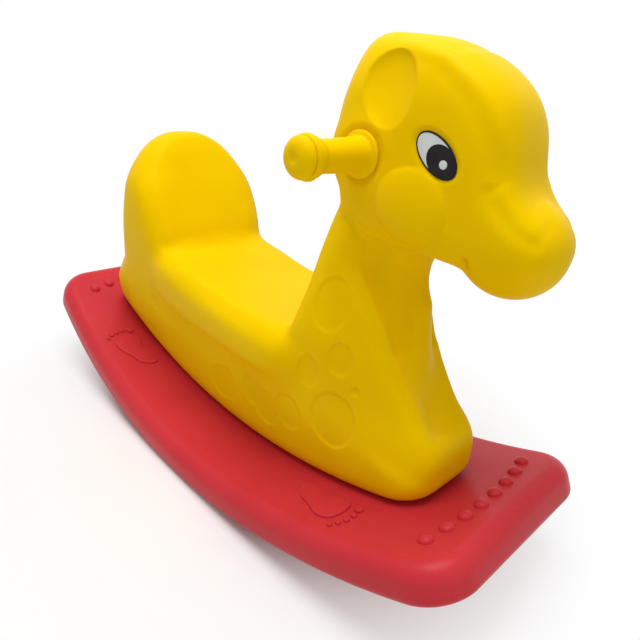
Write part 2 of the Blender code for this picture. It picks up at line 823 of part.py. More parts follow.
def make_body(toy, tools):
    body = body_form("giraffe_body", toy, tools)
    reduce_and_mirror(body, SKIN_KEEP)
    freeze(body)
    deck = ROCKER_THICKNESS + GAP
    cut(body, rocker_slab("deck_below", tools, 0.0, -ROCKER_THICKNESS, deck))
    cut(body, body_hollow(tools))
    cut(body, ear_dishes("ear_dishes", tools, 0.0))
    cut(body, flange_pockets("flange_pockets", tools, 0.0))
    cut(body, eye_seats("eye_seats", tools, 0.0))
    bore = rod(
        "tube_bore",
        tunnel_radius(),
        HANDLE_SPAN,
        along_y(HANDLE_X, -HANDLE_SPAN / 2, HANDLE_Z, 1),
        tools,
    )
    cut(body, bore)
    for x in bolt_places():
        hole = rod(
            "insert_hole",
            INSERT_DIAMETER / 2 + GAP,
            ROCKER_THICKNESS / 2 + GAP + insert_hole_depth(),
            bent_place(x, 0, ROCKER_THICKNESS / 2),
            tools,
        )
        cut(body, hole)
    vent = rod(
        "body_vent",
        VENT_DIAMETER / 2,
        2 * ROCKER_THICKNESS,
        bent_place(0, 0, 0),
        tools,
        SMALL_ROUND,
    )
    cut(body, vent)
    return freeze(body)


def make_handlebar(toy, yellow, steel):
    """Tube, grips and end caps, on an empty at the middle of the turning axis."""
    axis = bpy.data.objects.new("handlebar_axis", None)
    toy.objects.link(axis)
    axis.location = (HANDLE_X, 0.0, HANDLE_Z)
    length = HANDLE_SPAN / 2 - FLANGE_SEAT
    sleeve = length - CAP_LENGTH - GAP
    tube_half = FLANGE_SEAT + sleeve
    outer = TUBE_DIAMETER / 2
    inner = outer - TUBE_WALL
    tube_profile = [
        (inner, 2 * tube_half),
        (outer, 2 * tube_half),
        (outer, 0.0),
        (inner, 0.0),
    ]
    place = along_y(HANDLE_X, -tube_half, HANDLE_Z, 1)
    pieces = [turned("handle_tube", tube_profile, True, place, toy)]
    finish(pieces[0], steel)
    bore = outer + SLIDE_CLEARANCE
    collar = COLLAR_DIAMETER / 2
    grip = GRIP_DIAMETER / 2
    root = GRIP_ROOT_DIAMETER / 2
    flange = FLANGE_DIAMETER / 2
    neck_of_collar = sleeve - COLLAR_LENGTH
    grip_profile = [
        (bore, sleeve),
        (collar - 0.0012, sleeve),
        (collar, sleeve - 0.0014),
        (collar, sleeve - 0.0045),
        (collar - 0.0016, sleeve - 0.0058),
        (collar - 0.0012, sleeve - 0.0076),
        (collar - 0.0024, sleeve - 0.0108),
        (grip + 0.0008, neck_of_collar + 0.0030),
        (grip, neck_of_collar),
        (root, FLANGE_THICKNESS + 0.0040),
        (root + 0.0014, FLANGE_THICKNESS + 0.0010),
        (flange - 0.0010, FLANGE_THICKNESS),
        (flange, FLANGE_THICKNESS - 0.0010),
        (flange, 0.0008),
        (flange - 0.0008, 0.0),
        (bore, 0.0),
    ]
    cap = CAP_DIAMETER / 2
    dimple = CAP_DIMPLE_DIAMETER / 2
    stem = inner - SLIDE_CLEARANCE
    cap_profile = [
        (0.0, CAP_LENGTH - CAP_DIMPLE_DEPTH),
        (0.5 * dimple, CAP_LENGTH - 0.85 * CAP_DIMPLE_DEPTH),
        (dimple, CAP_LENGTH - 0.0004),
        (dimple + 0.0015, CAP_LENGTH),
        (0.62 * cap, CAP_LENGTH - 0.0010),
        (0.84 * cap, CAP_LENGTH - 0.0034),
        (0.96 * cap, CAP_LENGTH - 0.0066),
        (cap, 0.0018),
        (cap - 0.0010, 0.0),
        (stem, 0.0),
        (stem, 0.0010 - CAP_STEM_LENGTH),
        (stem - 0.0010, -CAP_STEM_LENGTH),
        (0.0, -CAP_STEM_LENGTH),
    ]
    for side, word in ((1, "left"), (-1, "right")):
        place = along_y(HANDLE_X, FLANGE_SEAT, HANDLE_Z, side)
        pieces.append(turned("grip_" + word, grip_profile, True, place, toy))
        finish(pieces[-1], yellow)
        place = along_y(HANDLE_X, HANDLE_SPAN / 2 - CAP_LENGTH, HANDLE_Z, side)
        pieces.append(turned("end_cap_" + word, cap_profile, False, place, toy))
        finish(pieces[-1], yellow)
    for piece in pieces:
        piece.parent = axis
        piece.matrix_parent_inverse = Matrix.Translation((-HANDLE_X, 0.0, -HANDLE_Z))


def make_eyes(toy, label):
    for side, word in ((1, "left"), (-1, "right")):
        bm = bmesh.new()
        add_oval(bm, EYE_LENGTH, EYE_WIDTH, EYE_THICKNESS, eye_place(side, EYE_SEAT))
        finish(add_object("eye_" + word, bm, toy), label)


def make_fasteners(toy, tools, steel, brass):
    """A bolt and washer in each well, and the insert in the body that the bolt grips."""
    seat = well_depth()
    shank = BOLT_SHANK / 2
    head = BOLT_HEAD_DIAMETER / 2
    head_under = seat - WASHER_THICKNESS - 2 * GAP
    insert_low = ROCKER_THICKNESS + 2 * GAP
    for number, x in enumerate(bolt_places(), 1):
        tip = insert_low + BOLT_REACH
        profile = [
            (0.0, tip),
            (shank - 0.0008, tip),
            (shank, tip - 0.0008),
            (shank, head_under),
            (head, head_under),
            (head, head_under - BOLT_HEAD_HEIGHT + 0.0012),
            (head - 0.0012, head_under - BOLT_HEAD_HEIGHT),
            (0.0, head_under - BOLT_HEAD_HEIGHT),
        ]
        bolt = turned("bolt_%d" % number, profile, False, bent_place(x, 0, 0), toy, SMALL_ROUND)
        key = rod(
            "hex_key",
            HEX_KEY / 2,
            2 * HEX_DEPTH,
            bent_place(x, 0, head_under - BOLT_HEAD_HEIGHT - HEX_DEPTH),
            tools,
            6,
        )
        cut(bolt, key)
        finish(freeze(bolt), steel)
        hole = shank + SCREW_CLEARANCE
        washer_profile = [
            (hole, seat - GAP),
            (WASHER_DIAMETER / 2, seat - GAP),
            (WASHER_DIAMETER / 2, seat - GAP - WASHER_THICKNESS),
            (hole, seat - GAP - WASHER_THICKNESS),
        ]
        place = bent_place(x, 0, 0)
        washer = turned("washer_%d" % number, washer_profile, True, place, toy, SMALL_ROUND)
        finish(washer, steel)
        insert_profile = [
            (hole, insert_low + INSERT_LENGTH),
            (INSERT_DIAMETER / 2, insert_low + INSERT_LENGTH),
            (INSERT_DIAMETER / 2, insert_low),
            (hole, insert_low),
        ]
        insert = turned("insert_%d" % number, insert_profile, True, place, toy, SMALL_ROUND)
        finish(insert, brass)


def main():
    clear_scene()
    toy = collection("rocking_giraffe")
    tools = collection("cutters")
    yellow = material("yellow_polyethylene", YELLOW, 0.35)
    red = material("red_polyethylene", RED, 0.38)
    steel = material("zinc_plated_steel", STEEL, 0.35, 1.0)
    brass = material("brass", BRASS, 0.35, 1.0)
    label = material("eye_label", LABEL, 0.25)
    finish(make_rocker(toy, tools), red)
    finish(make_body(toy, tools), yellow, math.radians(50.0))
    make_handlebar(toy, yellow, steel)
    make_eyes(toy, label)
    make_fasteners(toy, tools, steel, brass)


main()
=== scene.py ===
"""Looks of the rocking giraffe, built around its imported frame. All sizes are metres."""

import math

import bmesh
import bpy
import numpy as np
from mathutils import Euler, Matrix, Vector


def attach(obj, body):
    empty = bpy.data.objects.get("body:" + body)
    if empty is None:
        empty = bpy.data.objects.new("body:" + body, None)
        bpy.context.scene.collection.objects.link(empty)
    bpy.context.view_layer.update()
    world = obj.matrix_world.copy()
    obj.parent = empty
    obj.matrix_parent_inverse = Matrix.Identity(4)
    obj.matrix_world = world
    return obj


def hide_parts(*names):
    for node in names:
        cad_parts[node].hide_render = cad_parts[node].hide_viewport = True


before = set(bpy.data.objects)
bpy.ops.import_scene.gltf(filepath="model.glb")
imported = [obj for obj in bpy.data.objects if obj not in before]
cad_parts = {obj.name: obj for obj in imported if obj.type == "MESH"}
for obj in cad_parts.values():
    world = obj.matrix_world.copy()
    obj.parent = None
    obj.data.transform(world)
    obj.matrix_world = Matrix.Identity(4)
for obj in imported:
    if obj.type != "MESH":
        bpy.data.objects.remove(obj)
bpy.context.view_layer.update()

GAP = 0.0003
# Levels closer than the first are the same, points closer than the second are joined
SAME = 0.0000001
MERGE = 0.00001
# Steps round a full circle
HOLE_STEPS = 48
BORE_STEPS = 96
TURNED_STEPS = 72

# Rocker: a slab bent to an arc about a level axis above it
ROCKER_LENGTH = 0.790
ROCKER_END_WIDTH = 0.270
ROCKER_SIDE_BULGE = 0.023
ROCKER_THICKNESS = 0.040
SOLE_RADIUS = 0.836
# Length of the flat under the middle; further out, as much length takes this many bends
SOLE_FACET = 0.040
SOLE_FACET_CUTS = 4
CORNER_RADIUS = 0.045
DECK_EDGE = 0.018
SOLE_EDGE = 0.010
DECK_RADIUS = SOLE_RADIUS - ROCKER_THICKNESS
BEND_HEIGHT = SOLE_RADIUS * math.cos(SOLE_FACET / 2 / DECK_RADIUS)
HALF_DECK = DECK_RADIUS * math.asin(ROCKER_LENGTH / 2 / (SOLE_RADIUS - SOLE_EDGE))

# Raised marks on the deck; a footprint reaches down into it by the first
MARK_SINK = 0.001
DOT_COUNT = 8
DOT_SPACING = 0.0265
DOT_RADIUS = 0.0078
DOT_HEIGHT = 0.0058
DOT_ROW_INSET = 0.036
# The rows bend inward by this much per metre squared from the middle
DOT_ROW_CURVE = 1.3
FOOTPRINT_HEIGHT = 0.0026
FOOTPRINT_LENGTH = 0.086
FOOTPRINT_RIM = 0.0012
# Space between the cuts at which a footprint bends with the deck, and their number each way
FOOTPRINT_CUT = 0.012
FOOTPRINT_CUTS = 4
TOE_STEPS = 16
# The heel lies nearer to the body than the toes. Sideways shift along the foot, and the
# place that doesn't shift, as shares of the foot's length
FOOTPRINT_LEAN = 0.17
FOOTPRINT_PIVOT = 0.2
FOOTPRINT_X = (0.219, -0.206)
FOOTPRINT_Y = 0.097
# Outline of the sole, then the toes' places and radii, as shares of the foot's length
FOOTPRINT_SOLE = (
    (-0.50, 0.00), (-0.43, 0.13), (-0.18, 0.13), (0.02, 0.13), (0.20, 0.24), (0.31, 0.18),
    (0.34, 0.00), (0.27, -0.19), (0.08, -0.26), (-0.16, -0.20), (-0.38, -0.16),
)
FOOTPRINT_TOES = (
    (0.455, 0.200, 0.066), (0.490, 0.070, 0.046), (0.478, -0.050, 0.042),
    (0.440, -0.160, 0.040), (0.380, -0.258, 0.037),
)

# Wells and vents in the sole
BOLT_X = (-0.255, -0.085, 0.085, 0.225)
WELL_DIAMETER = 0.028
BOLT_SEAT = 0.006
VENT_X = (-0.170, 0.170)
VENT_DIAMETER = 0.010
VENT_DEPTH = 0.0128

# Ribs of the body: level, rear, front, half width, corner size, narrowing to the front
RIB_ROUNDNESS = 2.3
FLANK_CROWN = 0.004
HULL_TOP = 0.205
HULL_RIBS = (
    (-0.010, -0.300, 0.274, 0.036, 0.026, 0.00),
    (0.000, -0.312, 0.288, 0.046, 0.030, 0.00),
    (0.006, -0.320, 0.297, 0.054, 0.034, 0.00),
    (0.014, -0.325, 0.302, 0.059, 0.036, 0.00),
    (0.026, -0.326, 0.304, 0.062, 0.036, 0.03),
    (0.055, -0.320, 0.298, 0.066, 0.040, 0.08),
    (0.090, -0.310, 0.250, 0.072, 0.050, 0.15),
    (0.125, -0.298, 0.205, 0.0765, 0.060, 0.15),
    (0.165, -0.284, 0.165, 0.0780, 0.066, 0.12),
)
NECK_RIBS = (
    (0.100, 0.040, 0.294, 0.0620, 0.034, 0.10),
    (0.125, 0.050, 0.303, 0.0635, 0.030, 0.17),
    (0.150, 0.062, 0.303, 0.0625, 0.026, 0.25),
    (0.168, 0.074, 0.294, 0.0610, 0.024, 0.31),
    (0.182, 0.084, 0.278, 0.0610, 0.024, 0.33),
    (0.210, 0.097, 0.2515, 0.0628, 0.024, 0.31),
    (0.240, 0.106, 0.230, 0.0640, 0.025, 0.26),
    (0.280, 0.111, 0.207, 0.0600, 0.027, 0.13),
    (0.320, 0.113, 0.178, 0.0545, 0.030, 0.03),
    (0.360, 0.119, 0.190, 0.0480, 0.032, 0.00),
    (0.390, 0.124, 0.220, 0.0430, 0.040, 0.00),
)
CHEST_RIBS = (
    (0.195, 0.180, 0.2555, 0.018, 0.018, 0.00),
    (0.211, 0.170, 0.2515, 0.022, 0.022, 0.10),
    (0.249, 0.160, 0.2435, 0.024, 0.024, 0.20),
    (0.284, 0.145, 0.2360, 0.024, 0.026, 0.20),
    (0.320, 0.145, 0.2250, 0.026, 0.030, 0.15),
    (0.352, 0.145, 0.2290, 0.030, 0.040, 0.10),
)
HEAD_RIBS = (
    (0.350, 0.150, 0.330, 0.026, 0.030, 0.05),
    (0.358, 0.136, 0.344, 0.040, 0.040, 0.08),
    (0.374, 0.127, 0.352, 0.050, 0.042, 0.14),
    (0.396, 0.124, 0.346, 0.053, 0.042, 0.16),
    (0.415, 0.119, 0.322, 0.054, 0.040, 0.12),
    (0.435, 0.113, 0.307, 0.054, 0.038, 0.08),
    (0.465, 0.113, 0.299, 0.053, 0.038, 0.06),
    (0.490, 0.117, 0.288, 0.050, 0.038, 0.04),
    (0.510, 0.120, 0.269, 0.044, 0.038, 0.00),
    (0.526, 0.126, 0.239, 0.034, 0.032, -0.04),
    (0.535, 0.139, 0.202, 0.016, 0.016, 0.00),
)
BACKREST_RIBS = (
    (0.110, -0.296, -0.110, 0.070, 0.060, 0.00),
    (0.150, -0.291, -0.110, 0.079, 0.060, 0.00),
    (0.185, -0.281, -0.110, 0.0845, 0.056, 0.00),
    (0.225, -0.266, -0.116, 0.0895, 0.046, 0.00),
    (0.260, -0.255, -0.132, 0.0925, 0.038, 0.00),
    (0.290, -0.248, -0.148, 0.0925, 0.034, 0.00),
    (0.320, -0.245, -0.165, 0.0885, 0.032, 0.00),
    (0.345, -0.245, -0.181, 0.0755, 0.032, 0.00),
    (0.366, -0.244, -0.194, 0.0565, 0.028, 0.00),
    (0.3785, -0.241, -0.205, 0.0355, 0.020, 0.00),
    (0.3850, -0.233, -0.214, 0.016, 0.010, 0.00),
)
# Seat pad: station along X, underside, top, half width, corner size, narrowing
SEAT_RIBS = (
    (-0.215, 0.196, 0.262, 0.056, 0.024, 0.00),
    (-0.170, 0.178, 0.260, 0.085, 0.024, -0.03),
    (-0.110, 0.171, 0.249, 0.093, 0.023, -0.05),
    (-0.040, 0.169, 0.238, 0.0935, 0.022, -0.05),
    (0.030, 0.169, 0.235, 0.0935, 0.022, -0.05),
    (0.085, 0.170, 0.235, 0.092, 0.022, -0.04),
    (0.118, 0.176, 0.231, 0.085, 0.022, -0.02),
    (0.136, 0.191, 0.224, 0.069, 0.015, 0.00),
)
# The seat is lower at its sides by this much per metre squared
SEAT_CAMBER = 1.4
# Groove up the front of the chest: level, valley, slope of its sides
GROOVE_RIBS = (
    (0.1665, 0.2690, 0.70),
    (0.172, 0.2635, 0.75),
    (0.180, 0.2595, 0.58),
    (0.195, 0.2555, 0.26),
    (0.211, 0.2515, 0.00),
    (0.235, 0.2475, -0.05),
)
# Nose: x, z, half length, half width, half height; small nub on the neck: x, z, radius
NOSE = (0.304, 0.3755, 0.050, 0.044, 0.0468)
NUB = (0.228, 0.288, 0.0105)
# Size of the mesh's cells
MAIN_VOXEL = 0.0026
FINE_VOXEL = 0.0018
# Steps between two ribs, and rounds of smoothing
RIB_STEPS = 8
GROOVE_STEPS = 6
MAIN_ROUNDS = 18
FINE_ROUNDS = 3

# Details on both sides of the body, placed by x, distance from the middle plane, and z
# Line under the seat pad that is softened into a wide hollow
SEAT_CREASE = (
    (-0.162, 0.085, 0.167), (-0.098, 0.081, 0.154), (-0.020, 0.078, 0.151),
    (0.050, 0.075, 0.150), (0.086, 0.077, 0.155), (0.112, 0.083, 0.170), (0.123, 0.083, 0.200),
)
SEAT_CREASE_WIDTH = 0.015
SEAT_CREASE_ROUNDS = 220
# Line where the backrest rises from the seat, softened into a wide fillet
BACK_CREASE = ((-0.140, 0.000, 0.258), (-0.138, 0.050, 0.255), (-0.132, 0.090, 0.246))
BACK_CREASE_WIDTH = 0.015
BACK_CREASE_ROUNDS = 60
# Soft ridges and valleys: width, height, points of the line
STROKES = (
    # edge of the forehead, and the valley behind it
    (0.0070, 0.0016, (
        (0.175, 0.034, 0.528), (0.204, 0.042, 0.521), (0.230, 0.042, 0.517),
        (0.266, 0.043, 0.498), (0.281, 0.042, 0.481), (0.296, 0.037, 0.450),
    )),
    (0.0070, -0.0007, (
        (0.222, 0.047, 0.511), (0.242, 0.050, 0.499), (0.264, 0.050, 0.483),
        (0.286, 0.046, 0.456), (0.302, 0.041, 0.427),
    )),
    # bridge of the nose, and the crease round the muzzle
    (0.0110, 0.0013, (
        (0.297, 0.041, 0.430), (0.308, 0.040, 0.421), (0.316, 0.036, 0.416),
        (0.326, 0.029, 0.411), (0.338, 0.020, 0.403),
    )),
    (0.0070, -0.0019, (
        (0.292, 0.046, 0.433), (0.297, 0.045, 0.419), (0.308, 0.044, 0.408),
        (0.320, 0.042, 0.400), (0.332, 0.038, 0.394), (0.344, 0.029, 0.389),
    )),
    # edge of the jaw
    (0.0045, 0.0028, (
        (0.150, 0.055, 0.383), (0.160, 0.055, 0.371), (0.170, 0.053, 0.363), (0.182, 0.046, 0.355),
        (0.205, 0.040, 0.350), (0.228, 0.042, 0.354), (0.257, 0.045, 0.360), (0.276, 0.048, 0.367),
    )),
    # hollow below the jaw's edge
    (0.0070, -0.0030, (
        (0.148, 0.050, 0.370), (0.162, 0.050, 0.357), (0.178, 0.047, 0.346), (0.205, 0.043, 0.340),
    )),
    # dip between the crown and the forehead
    (0.0080, -0.0012, ((0.233, -0.020, 0.530), (0.231, 0.010, 0.528), (0.228, 0.036, 0.520))),
    # corner of the mouth
    (0.0024, -0.0055, (
        (0.2853, 0.048, 0.3670), (0.2856, 0.044, 0.3620), (0.2858, 0.036, 0.3540),
        (0.2860, 0.020, 0.3500),
    )),
    # valley between the seat and the backrest
    (0.0120, -0.0020, ((-0.141, -0.020, 0.257), (-0.139, 0.040, 0.255), (-0.133, 0.088, 0.247))),
    # rim round the face of the backrest
    (0.0100, 0.0016, (
        (-0.212, -0.020, 0.383), (-0.207, 0.030, 0.375), (-0.196, 0.054, 0.357), (-0.186, 0.067, 0.335),
        (-0.170, 0.077, 0.300), (-0.156, 0.080, 0.272),
    )),
    # edge of the seat
    (0.0080, 0.0012, (
        (-0.106, 0.088, 0.234), (-0.049, 0.084, 0.228), (0.005, 0.082, 0.225),
        (0.061, 0.083, 0.224), (0.107, 0.080, 0.222),
    )),
    # ridge between the flank and the chest, and the hollow under the jaw
    (0.0055, 0.0018, (
        (0.150, 0.053, 0.349), (0.167, 0.048, 0.329), (0.182, 0.044, 0.304), (0.201, 0.044, 0.281),
        (0.223, 0.038, 0.248), (0.249, 0.034, 0.210), (0.277, 0.031, 0.179),
    )),
    (0.0130, -0.0048, (
        (0.212, 0.024, 0.342), (0.216, 0.020, 0.311), (0.220, 0.022, 0.285),
        (0.224, 0.024, 0.260), (0.230, 0.026, 0.232),
    )),
)
# The share of a stroke over which each of its ends fades out
STROKE_FADE = 0.15
STROKE_STEPS = 5
# Spots: x, z, half length, half height; the last two are small dimples
SPOTS = (
    (0.160, 0.277, 0.0210, 0.0290),
    (0.182, 0.222, 0.0138, 0.0190),
    (0.146, 0.193, 0.0130, 0.0190),
    (0.184, 0.147, 0.0290, 0.0330),
    (0.119, 0.123, 0.0204, 0.0235),
    (0.078, 0.108, 0.0220, 0.0250),
    (0.052, 0.118, 0.0170, 0.0210),
    (-0.002, 0.101, 0.0200, 0.0240),
    (-0.012, 0.097, 0.0200, 0.0240),
    (-0.163, 0.158, 0.0080, 0.0110),
    (0.2045, 0.1925, 0.0042, 0.0045),
)
SPOT_DEPTH = 0.0015
SPOT_EDGE = 0.0026
# Spots and head details stay this far off the middle plane
SPOT_LIMIT = 0.035
SIDE_LIMIT = 0.025
# Cheek: x, z, half length, half height
CHEEK = (0.2275, 0.3955, 0.0365, 0.0350)
CHEEK_RISE = 0.0058
CHEEK_FULLNESS = 0.6
# Ear dish: x, z, half length, half height; wider and deeper toward its top
EAR = (0.183, 0.488, 0.0272, 0.0330)
EAR_TILT = math.radians(20.0)
EAR_DEPTH = 0.0076
EAR_EGG = 0.10
EAR_DEEPER = 0.50
EAR_FULLNESS = 0.75

# Handlebar; bore and pocket are radii
HANDLE_X = 0.166
HANDLE_Z = 0.430
HANDLE_SPAN = 0.286
TUBE_DIAMETER = 0.0190
HEAD_BORE = 0.0105
FLANGE_SEAT = 0.0585
FLANGE_POCKET = 0.0268
# Distance from the middle plane that lies outside the head
HEAD_REACH = 0.08
# Swelling of the head's sides round the handlebar: half length, half thickness
ROOT_SWELLING = (0.046, 0.013)
ROOT_SIDE = 0.0500
CAP_HEIGHT = 0.011
# Length of a grip, from its flange's seat to its cap
SLEEVE = HANDLE_SPAN / 2 - FLANGE_SEAT - CAP_HEIGHT - GAP
# Radius of the grip's end face; then the rim of its outer end, as radius and distance back
# from that face; then its flange, as radius and distance from the seat
GRIP_FACE = 0.0182
GRIP_RIM = (
    (0.0190, 0.0006), (0.0194, 0.0016), (0.0200, 0.0036), (0.0200, 0.0050),
    (0.0190, 0.0060), (0.0184, 0.0068), (0.0186, 0.0078), (0.0182, 0.0100),
    (0.0170, 0.0128), (0.0158, 0.0150), (0.0149, 0.0172), (0.0146, 0.0195),
)
GRIP_FLANGE = (
    (0.0160, 0.0085), (0.0161, 0.0070), (0.0167, 0.0056), (0.0178, 0.0047), (0.0196, 0.0042),
    (0.0211, 0.0037), (0.0218, 0.0028), (0.0218, 0.0010), (0.0212, 0.0000),
)
GRIP_STEPS = 8
# Radius and height of the cap's skin, from its dimple to its foot and down its stem
CAP_PROFILE = (
    (0.0000, 0.0095), (0.0015, 0.0096), (0.0030, 0.0099), (0.0042, 0.0104), (0.0052, 0.01085),
    (0.0064, 0.0110), (0.0085, 0.0108), (0.0110, 0.0102), (0.0135, 0.0091), (0.0156, 0.0076),
    (0.0170, 0.0060), (0.0180, 0.0042), (0.0185, 0.0024), (0.0184, 0.0012), (0.0178, 0.0003),
    (0.0170, 0.0), (0.0077, 0.0), (0.0077, -0.018), (0.0, -0.018),
)

# Eyes
EYE_X = 0.2435
EYE_Z = 0.4438
EYE_LENGTH = 0.0494
EYE_WIDTH = 0.0272
EYE_TILT = math.radians(34.7)
EYE_TURN = math.radians(4.0)
EYE_LEAN = math.radians(4.0)
EYE_SEAT = 0.0540
EYE_MARGIN = 0.0022
EYE_BLEND = 0.0018
# Layers of the label: shift along the eye, half length, half width, bottom, top, colour
EYE_LAYERS = (
    ("outline", 0.0000, 0.0247, 0.0136, 0.0000, 0.0004, "black"),
    ("white", 0.0000, 0.0231, 0.0120, 0.0004, 0.0006, "white"),
    ("pupil", 0.0072, 0.0160, 0.0121, 0.0006, 0.0008, "black"),
    ("light", 0.0104, 0.0038, 0.0036, 0.0008, 0.0009, "white"),
)
# Width of a layer's rounded rim, as a share of its thickness
DISC_RIM = 0.6

# Fineness of the materials' noise, in waves per metre, and depth of the skin's relief
CLOUD_SCALE = 9.0
FLECK_SCALE = 42.0
WEAR_SCALE = 16.0
WAVE_SCALE = 60.0
WAVE_HEIGHT = 0.0006
PEEL_SCALE = 900.0
PEEL_HEIGHT = 0.00006
STAIN_SCALE = 300.0
SCRATCH_SCALE = 140.0
INK_SCALE = 120.0
FILM_SCALE = 220.0

# Light from all round, and the point that the lamps face
WORLD_FILL = 0.46
LIGHT_TARGET = (0.0, 0.0, 0.2)

# Floor: half its width, its tints, and the distances over which it fades to white
FLOOR_REACH = 8.0
FLOOR_TINT = (0.84, 0.84, 0.84)
FLOOR_PALE = (0.87, 0.87, 0.87)
FLOOR_SCALE = 3.0
FLOOR_FADE = (0.20, 0.47)

# Camera fitted to the photograph
CAMERA_PLACE = (0.5163, -0.4680, 0.5122)
# Turns about X, Y and Z, in degrees
CAMERA_TURNS = (64.6917, -6.1900, 46.2115)
CAMERA_SENSOR = 36.0
CAMERA_LENS = 32.043
CAMERA_SHIFT = (0.0111, -0.0027)


# Helpers for meshes


def link(name, mesh):
    obj = bpy.data.objects.new(name, mesh)
    bpy.context.scene.collection.objects.link(obj)
    return obj


def from_bmesh(name, bm):
    mesh = bpy.data.meshes.new(name)
    bmesh.ops.recalc_face_normals(bm, faces=bm.faces)
    bm.to_mesh(mesh)
    bm.free()
    return link(name, mesh)


def apply_modifiers(obj):
    bpy.context.view_layer.update()
    evaluated = obj.evaluated_get(bpy.context.evaluated_depsgraph_get())
    mesh = bpy.data.meshes.new_from_object(evaluated)
    obj.modifiers.clear()
    old = obj.data
    obj.data = mesh
    bpy.data.meshes.remove(old)
    return obj


def boolean(obj, tool, operation="DIFFERENCE"):
    change = obj.modifiers.new("Boolean", "BOOLEAN")
    change.operation = operation
    change.solver = "EXACT"
    change.object = tool
    apply_modifiers(obj)
    bpy.data.objects.remove(tool, do_unlink=True)


def remesh(obj, voxel):
    change = obj.modifiers.new("Remesh", "REMESH")
    change.mode = "VOXEL"
    change.voxel_size = voxel
    apply_modifiers(obj)


def get_points(obj):
    points = np.empty(len(obj.data.vertices) * 3)
    obj.data.vertices.foreach_get("co", points)
    return points.reshape(-1, 3)


def set_points(obj, points):
    obj.data.vertices.foreach_set("co", points.ravel())
    obj.data.update()


def get_normals(obj):
    normals = np.empty(len(obj.data.vertices) * 3)
    obj.data.vertex_normals.foreach_get("vector", normals)
    return normals.reshape(-1, 3)


def relax(obj, rounds, share=0.5):
    """Evens a mesh out by moving each point toward the middle of its neighbours."""
    edges = np.empty(len(obj.data.edges) * 2, dtype=np.int64)
    obj.data.edges.foreach_get("vertices", edges)
    a, b = edges.reshape(-1, 2).T
    points = get_points(obj)
    count = len(points)
    valence = np.bincount(a, minlength=count) + np.bincount(b, minlength=count)
    if not np.isscalar(share):
        share = share[:, None]
    for _ in range(rounds):
        total = np.empty_like(points)
        for axis in range(3):
            total[:, axis] = np.bincount(a, points[b, axis], count)
            total[:, axis] += np.bincount(b, points[a, axis], count)
        points += share * (total / valence[:, None] - points)
    set_points(obj, points)


def circle(count):
    """Points of a circle of radius 1, as cosine and sine."""
    turns = [2 * math.pi * i / count for i in range(count)]
    return [(math.cos(t), math.sin(t)) for t in turns]


def step(t):
    """0 below 0, 1 above 1, smooth between."""
    t = np.clip(t, 0.0, 1.0)
    return t * t * (3 - 2 * t)


def smooth_between(rows, steps, closed=False):
    """Rows of numbers on a smooth curve through the given rows."""
    count = len(rows)
    last = count if closed else count - 1
    made = []
    for i in range(last):
        if closed:
            near = [rows[(i + k) % count] for k in (-1, 0, 1, 2)]
        else:
            near = [rows[min(max(i + k, 0), count - 1)] for k in (-1, 0, 1, 2)]
        for j in range(steps):
            t = j / steps
            row = []
            for p, q, r, s in zip(*near):
                bend = (2 * p - 5 * q + 4 * r - s) * t * t + (3 * q - p - 3 * r + s) * t ** 3
                row.append(0.5 * (2 * q + (r - p) * t + bend))
            made.append(row)
    if not closed:
        made.append(list(rows[-1]))
    return made


def along_y(x, y, z, side):
    """Place whose own Z points outward from the middle plane."""
    turn = Matrix.Rotation(-side * math.pi / 2, 4, "X")
    return Matrix.Translation((x, side * y, z)) @ turn


def eye_place(side, y):
    """Place of the eye's own plane, its Z outward, at the distance y from the middle plane."""
    turn = Matrix.Rotation(-side * EYE_TURN, 4, "Z")
    outward = Matrix.Rotation(-side * (math.pi / 2 - EYE_LEAN), 4, "X")
    tilt = Matrix.Rotation(side * EYE_TILT, 4, "Z")
    return Matrix.Translation((EYE_X, side * y, EYE_Z)) @ turn @ outward @ tilt


# The body


def rib_outline(rear, front, half, corner, narrowing, corner_steps=12, side_steps=20):
    """One closed rib as points along and across, with rounded corners and crowned sides."""
    middle = (front + rear) / 2
    reach = (front - rear) / 2
    corner_along = min(corner, reach)
    corner_across = min(corner, half)
    points = []
    for quadrant in range(4):
        side = 1 if quadrant in (0, 3) else -1
        flank = 1 if quadrant in (0, 1) else -1
        for i in range(corner_steps + 1):
            angle = math.pi / 2 * (quadrant + i / corner_steps)
            c = math.copysign(abs(math.cos(angle)) ** (2 / RIB_ROUNDNESS), side)
            s = math.copysign(abs(math.sin(angle)) ** (2 / RIB_ROUNDNESS), flank)
            along = side * (reach - corner_along) + corner_along * c
            across = flank * (half - corner_across) + corner_across * s
            points.append((along, across))
        if quadrant % 2 == 0:
            start = points[-1][0]
            for i in range(1, side_steps):
                points.append((start * (1 - 2 * i / side_steps), flank * half))
    outline = []
    for along, across in points:
        t = along / reach
        crown = math.copysign(FLANK_CROWN * (1 - t * t) * min(1.0, abs(across) / half), across)
        outline.append((middle + along, across * (1 - narrowing * t) + crown))
    return outline


def level_point(level, along, across):
    return Vector((along, across, level))


def station_point(station, along, across):
    return Vector((station, across, along - SEAT_CAMBER * across * across))


def hull_point(level, along, across):
    """The hull's levels follow the curved deck at its foot and lie flat at HULL_TOP."""
    share = level / (HULL_TOP - ROCKER_THICKNESS)
    deck = BEND_HEIGHT - math.sqrt(DECK_RADIUS ** 2 - along * along)
    return Vector((along, across, deck + (HULL_TOP - deck) * share))


